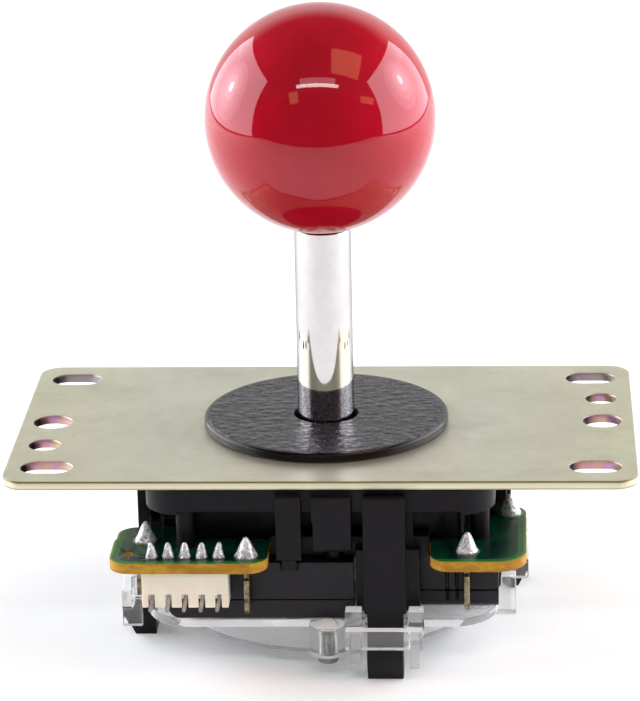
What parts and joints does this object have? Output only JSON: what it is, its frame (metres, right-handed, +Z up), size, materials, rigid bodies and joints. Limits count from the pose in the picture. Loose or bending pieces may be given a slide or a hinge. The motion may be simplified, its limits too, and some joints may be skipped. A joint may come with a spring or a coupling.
{
  "type": "arcade joystick panel",
  "caption": "Ball-top arcade lever on a flat steel mounting plate, with snap switches, circuit board, header and clear restrictor gate.",
  "frame": {"origin": "centre of the mounting plate's top face, which is also the centre of its slot pattern", "axes": "+Z up the lever towards the ball, +X along the plate's long side, -Y towards the connector side"},
  "size_m": [0.095, 0.0629, 0.0966],
  "materials": {
    "plate": "zinc and chromate plated steel, satin, straw yellow cast at the edges",
    "plate_fastener": "zinc plated",
    "black_plastic": "moulded, fine spark texture",
    "switch_case": "moulded, satin",
    "switch_cover": "moulded, satin",
    "circuit_board": "dark green solder mask on golden glass laminate",
    "solder": "bright tin",
    "connector": "ivory nylon, satin",
    "contact_metal": "tinned brass",
    "blade_copper": "beryllium copper",
    "clear_plastic": "clear moulded polycarbonate",
    "dark_fastener": "dark plated steel",
    "shaft_chrome": "polished",
    "ball_plastic": "polished red",
    "insert_brass": "turned",
    "nylon": "natural nylon",
    "spring_steel": "drawn wire and stamped sheet",
    "washer_plastic": "leather grain top, smooth rim",
    "plunger_plastic": "red acetal"
  },
  "bodies": {
    "housing": {"mounting_plate": "plate", "plate_screws": "plate_fastener", "upper_housing": "black_plastic", "circuit_board": "circuit_board", "solder_joints": "solder", "connector_shell": "connector", "connector_pins": "contact_metal", "restrictor_gate": "clear_plastic", "gate_ring": "clear_plastic", "gate_screw": "dark_fastener", "front_switch_case": "switch_case", "front_switch_cover": "switch_cover", "front_switch_terminals": "contact_metal", "front_switch_blade": "blade_copper", "right_switch_case": "switch_case", "right_switch_cover": "switch_cover", "right_switch_terminals": "contact_metal", "right_switch_blade": "blade_copper", "rear_switch_case": "switch_case", "rear_switch_cover": "switch_cover", "rear_switch_terminals": "contact_metal", "rear_switch_blade": "blade_copper", "left_switch_case": "switch_case", "left_switch_cover": "switch_cover", "left_switch_terminals": "contact_metal", "left_switch_blade": "blade_copper"},
    "spring_gimbal": {"centring_spring": "spring_steel"},
    "lever_pivot": {"pivot_bush": "nylon"},
    "lever_shaft": {"shaft": "shaft_chrome", "ball_top": "ball_plastic", "ball_insert": "insert_brass", "actuator": "nylon", "shaft_washer": "spring_steel", "e_ring": "spring_steel"},
    "dust_washer": {"dust_washer": "washer_plastic"},
    "front_plunger": {"front_plunger": "plunger_plastic"},
    "right_plunger": {"right_plunger": "plunger_plastic"},
    "rear_plunger": {"rear_plunger": "plunger_plastic"},
    "left_plunger": {"left_plunger": "plunger_plastic"}
  },
  "joints": [
    {"name": "lever_tilt_fore_aft", "type": "hinge", "parent": "housing", "child": "spring_gimbal", "pos_m": [0, 0, -0.0025], "axis": [1, 0, 0], "range_deg": [-7, 7], "stiffness_Nm_per_rad": 0.5, "deforming": ["centring_spring"]},
    {"name": "lever_tilt_left_right", "type": "hinge", "parent": "spring_gimbal", "child": "lever_pivot", "pos_m": [0, 0, -0.0025], "axis": [0, 1, 0], "range_deg": [-7, 7], "stiffness_Nm_per_rad": 0.5, "deforming": ["centring_spring"]},
    {"name": "lever_spin", "type": "hinge", "parent": "lever_pivot", "child": "lever_shaft", "pos_m": [0, 0, -0.0025], "axis": [0, 0, 1], "continuous": true},
    {"name": "dust_washer_slide", "type": "slide", "parent": "housing", "child": "dust_washer", "axis": [1, 0, 0], "range_m": [-0.0004, 0.0004]},
    {"name": "front_plunger_press", "type": "slide", "parent": "housing", "child": "front_plunger", "axis": [0, -1, 0], "range_m": [-0.0011, 0.0011], "deforming": ["front_switch_blade"]},
    {"name": "right_plunger_press", "type": "slide", "parent": "housing", "child": "right_plunger", "axis": [1, 0, 0], "range_m": [-0.0011, 0.0011], "deforming": ["right_switch_blade"]},
    {"name": "rear_plunger_press", "type": "slide", "parent": "housing", "child": "rear_plunger", "axis": [0, 1, 0], "range_m": [-0.0011, 0.0011], "deforming": ["rear_switch_blade"]},
    {"name": "left_plunger_press", "type": "slide", "parent": "housing", "child": "left_plunger", "axis": [-1, 0, 0], "range_m": [-0.0011, 0.0011], "deforming": ["left_switch_blade"]}
  ],
  "couplings": [
    {"joint": "dust_washer_slide", "follows": "lever_tilt_left_right", "m_per_rad": 0.0031},
    {"joint": "front_plunger_press", "follows": "lever_tilt_fore_aft", "m_per_rad": -0.0086},
    {"joint": "right_plunger_press", "follows": "lever_tilt_left_right", "m_per_rad": -0.0086},
    {"joint": "rear_plunger_press", "follows": "lever_tilt_fore_aft", "m_per_rad": 0.0086},
    {"joint": "left_plunger_press", "follows": "lever_tilt_left_right", "m_per_rad": 0.0086}
  ]
}
